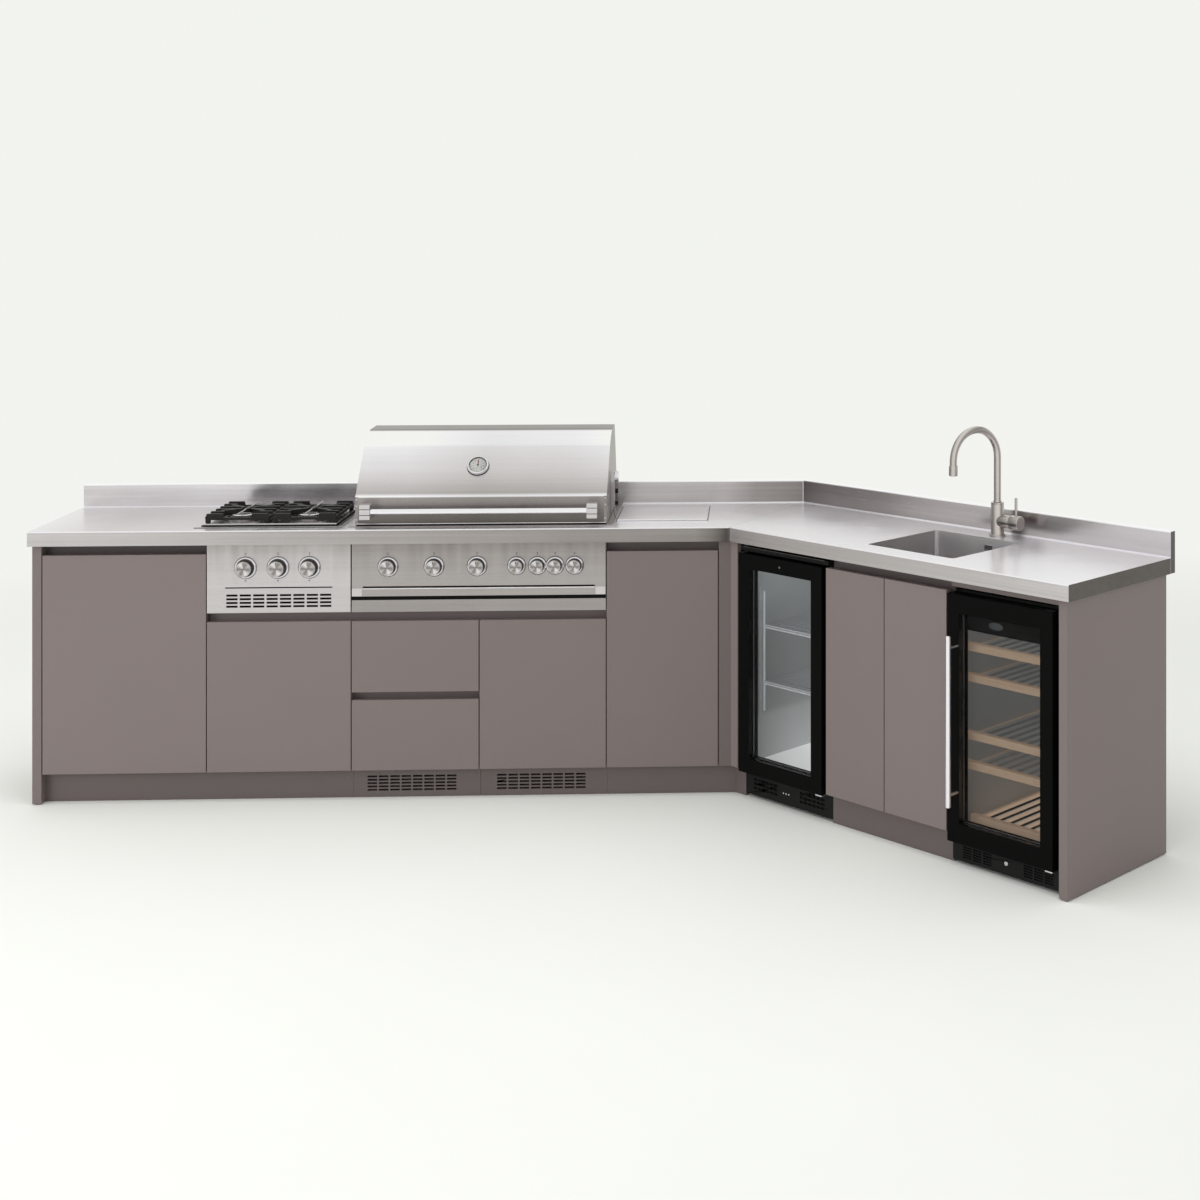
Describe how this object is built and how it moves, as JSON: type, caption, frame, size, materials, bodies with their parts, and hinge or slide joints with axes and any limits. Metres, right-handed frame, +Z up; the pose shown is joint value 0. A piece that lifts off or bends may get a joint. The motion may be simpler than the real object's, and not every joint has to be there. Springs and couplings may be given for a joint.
{
  "type": "outdoor kitchen",
  "caption": "Outdoor kitchen with an obtuse corner: hooded gas grill and hob run, and a leg with sink, tap, glass-door fridge and wine cooler under one steel worktop.",
  "frame": {"origin": "middle of the footprint, on the floor", "axes": "+X along the cooking run from the left end towards the corner, +Y from its fronts towards the wall, +Z up"},
  "size_m": [3.6648, 1.4888, 1.2622],
  "materials": {
    "worktop_steel": "fine brushed stainless steel",
    "sink_steel": "satin stainless steel",
    "waste_plastic": "grey moulded plastic",
    "front_taupe": "satin taupe compact laminate",
    "drawer_taupe": "satin taupe compact laminate",
    "panel_taupe": "satin taupe compact laminate",
    "plinth_taupe": "satin taupe compact laminate",
    "carcass_taupe": "dull dark taupe laminate",
    "panel_steel": "brushed stainless steel",
    "tray_steel": "brushed stainless steel",
    "hood_steel": "brushed stainless steel",
    "handle_steel": "polished stainless steel",
    "gauge_steel": "stainless steel case with a pale dial",
    "knob_steel": "turned steel with radial sheen",
    "firebox_steel": "dull stainless steel",
    "burner_steel": "dull stainless steel",
    "grate_steel": "dull stainless steel",
    "hob_steel": "brushed stainless steel",
    "cast_iron": "black enamelled cast iron",
    "tap_metal": "satin stainless steel",
    "appliance_black": "black painted case with a pale liner",
    "door_black": "glossy black frame",
    "door_glass": "tinted double glazing",
    "shelf_wire": "plated wire",
    "shelf_beech": "oiled beech"
  },
  "bodies": {
    "kitchen": {"worktop": "worktop_steel", "upstand": "worktop_steel", "worktop_tub": "worktop_steel", "sink_bowl": "sink_steel", "sink_waste": "waste_plastic", "corner_filler": "front_taupe", "end_panel_left": "panel_taupe", "end_panel_right": "panel_taupe", "plinth_left": "plinth_taupe", "plinth_vents": "plinth_taupe", "plinth_corner": "plinth_taupe", "plinth_sink": "plinth_taupe", "left_cabinet": "carcass_taupe", "hob_cabinet": "carcass_taupe", "grill_cabinet": "carcass_taupe", "corner_cabinet": "carcass_taupe", "sink_cabinet": "carcass_taupe", "hob_control_panel": "panel_steel", "grill_control_panel": "panel_steel", "grill_firebox": "firebox_steel", "grill_burners": "burner_steel", "cooking_grate": "grate_steel", "hob_tray": "hob_steel", "pan_support_left": "cast_iron", "pan_support_right": "cast_iron", "tap_body": "tap_metal", "fridge_cabinet": "appliance_black", "wine_cabinet": "appliance_black", "fridge_shelves": "shelf_wire", "wine_shelves": "shelf_beech"},
    "hood": {"hood": "hood_steel", "hood_handle": "handle_steel", "hood_thermometer": "gauge_steel"},
    "left_door": {"door_left": "front_taupe"},
    "hob_door": {"door_hob": "front_taupe"},
    "grill_door": {"door_grill": "front_taupe"},
    "corner_door": {"door_corner": "front_taupe"},
    "sink_left_door": {"sink_door_left": "front_taupe"},
    "sink_right_door": {"sink_door_right": "front_taupe"},
    "fridge_door": {"fridge_door_frame": "door_black", "fridge_door_glass": "door_glass"},
    "wine_door": {"wine_door_frame": "door_black", "wine_door_glass": "door_glass", "wine_door_handle": "handle_steel"},
    "upper_drawer": {"drawer_upper": "drawer_taupe"},
    "lower_drawer": {"drawer_lower": "drawer_taupe"},
    "tray": {"drip_tray": "tray_steel"},
    "spout": {"tap_spout": "tap_metal"},
    "lever": {"tap_lever": "tap_metal"},
    "lid": {"worktop_lid": "worktop_steel"},
    "hob_control_1": {"hob_knob_1": "knob_steel"},
    "hob_control_2": {"hob_knob_2": "knob_steel"},
    "hob_control_3": {"hob_knob_3": "knob_steel"},
    "grill_control_1": {"grill_knob_1": "knob_steel"},
    "grill_control_2": {"grill_knob_2": "knob_steel"},
    "grill_control_3": {"grill_knob_3": "knob_steel"},
    "grill_control_4": {"grill_knob_4": "knob_steel"},
    "grill_control_5": {"grill_knob_5": "knob_steel"},
    "grill_control_6": {"grill_knob_6": "knob_steel"},
    "grill_control_7": {"grill_knob_7": "knob_steel"}
  },
  "joints": [
    {"name": "hood_hinge", "type": "hinge", "parent": "kitchen", "child": "hood", "pos_m": [-0.36186, 0.67937, 1], "axis": [-1, 0, 0], "range_deg": [0, 88]},
    {"name": "left_door_hinge", "type": "hinge", "parent": "kitchen", "child": "left_door", "pos_m": [-1.78386, 0.24137, 0.46], "axis": [0, 0, -1], "range_deg": [0, 90]},
    {"name": "hob_door_hinge", "type": "hinge", "parent": "kitchen", "child": "hob_door", "pos_m": [-1.25036, 0.24137, 0.35], "axis": [0, 0, -1], "range_deg": [0, 90]},
    {"name": "grill_door_hinge", "type": "hinge", "parent": "kitchen", "child": "grill_door", "pos_m": [-0.35686, 0.24137, 0.35], "axis": [0, 0, -1], "range_deg": [0, 90]},
    {"name": "corner_door_hinge", "type": "hinge", "parent": "kitchen", "child": "corner_door", "pos_m": [0.06364, 0.24137, 0.46], "axis": [0, 0, -1], "range_deg": [0, 90]},
    {"name": "sink_left_door_hinge", "type": "hinge", "parent": "kitchen", "child": "sink_left_door", "pos_m": [0.78478, -0.06873, 0.46], "axis": [0, 0, -1], "range_deg": [0, 90]},
    {"name": "sink_right_door_hinge", "type": "hinge", "parent": "kitchen", "child": "sink_right_door", "pos_m": [1.12667, -0.41061, 0.46], "axis": [0, 0, 1], "range_deg": [0, 90]},
    {"name": "fridge_door_hinge", "type": "hinge", "parent": "kitchen", "child": "fridge_door", "pos_m": [0.77382, -0.03938, 0.455], "axis": [0, 0, 1], "range_deg": [0, 90]},
    {"name": "wine_door_hinge", "type": "hinge", "parent": "kitchen", "child": "wine_door", "pos_m": [1.4088, -0.67436, 0.442], "axis": [0, 0, 1], "range_deg": [0, 90]},
    {"name": "upper_drawer_slide", "type": "slide", "parent": "kitchen", "child": "upper_drawer", "axis": [0, -1, 0], "range_m": [0, 0.34]},
    {"name": "lower_drawer_slide", "type": "slide", "parent": "kitchen", "child": "lower_drawer", "axis": [0, -1, 0], "range_m": [0, 0.34]},
    {"name": "drip_tray_slide", "type": "slide", "parent": "kitchen", "child": "tray", "axis": [0, -1, 0], "range_m": [0, 0.36]},
    {"name": "spout_swivel", "type": "hinge", "parent": "kitchen", "child": "spout", "pos_m": [1.3395, 0.0285, 1.01], "axis": [0, 0, 1], "range_deg": [-100, 100]},
    {"name": "lever_turn", "type": "hinge", "parent": "kitchen", "child": "lever", "pos_m": [1.39254, -0.02453, 0.95], "axis": [0.7071, -0.7071, 0], "range_deg": [-45, 45]},
    {"name": "lid_hinge", "type": "hinge", "parent": "kitchen", "child": "lid", "pos_m": [0.23764, 0.65287, 0.9], "axis": [-1, 0, 0], "range_deg": [0, 95]},
    {"name": "hob_control_1_turn", "type": "hinge", "parent": "kitchen", "child": "hob_control_1", "pos_m": [-1.12767, 0.22437, 0.775], "axis": [0, -1, 0], "range_deg": [0, 210]},
    {"name": "hob_control_2_turn", "type": "hinge", "parent": "kitchen", "child": "hob_control_2", "pos_m": [-1.02167, 0.22437, 0.775], "axis": [0, -1, 0], "range_deg": [0, 210]},
    {"name": "hob_control_3_turn", "type": "hinge", "parent": "kitchen", "child": "hob_control_3", "pos_m": [-0.91896, 0.22437, 0.775], "axis": [0, -1, 0], "range_deg": [0, 210]},
    {"name": "grill_control_1_turn", "type": "hinge", "parent": "kitchen", "child": "grill_control_1", "pos_m": [-0.6615, 0.22437, 0.775], "axis": [0, -1, 0], "range_deg": [0, 210]},
    {"name": "grill_control_2_turn", "type": "hinge", "parent": "kitchen", "child": "grill_control_2", "pos_m": [-0.51001, 0.22437, 0.775], "axis": [0, -1, 0], "range_deg": [0, 210]},
    {"name": "grill_control_3_turn", "type": "hinge", "parent": "kitchen", "child": "grill_control_3", "pos_m": [-0.36855, 0.22437, 0.775], "axis": [0, -1, 0], "range_deg": [0, 210]},
    {"name": "grill_control_4_turn", "type": "hinge", "parent": "kitchen", "child": "grill_control_4", "pos_m": [-0.23798, 0.22437, 0.775], "axis": [0, -1, 0], "range_deg": [0, 210]},
    {"name": "grill_control_5_turn", "type": "hinge", "parent": "kitchen", "child": "grill_control_5", "pos_m": [-0.16935, 0.22437, 0.775], "axis": [0, -1, 0], "range_deg": [0, 210]},
    {"name": "grill_control_6_turn", "type": "hinge", "parent": "kitchen", "child": "grill_control_6", "pos_m": [-0.11076, 0.22437, 0.775], "axis": [0, -1, 0], "range_deg": [0, 210]},
    {"name": "grill_control_7_turn", "type": "hinge", "parent": "kitchen", "child": "grill_control_7", "pos_m": [-0.04631, 0.22437, 0.775], "axis": [0, -1, 0], "range_deg": [0, 210]}
  ]
}
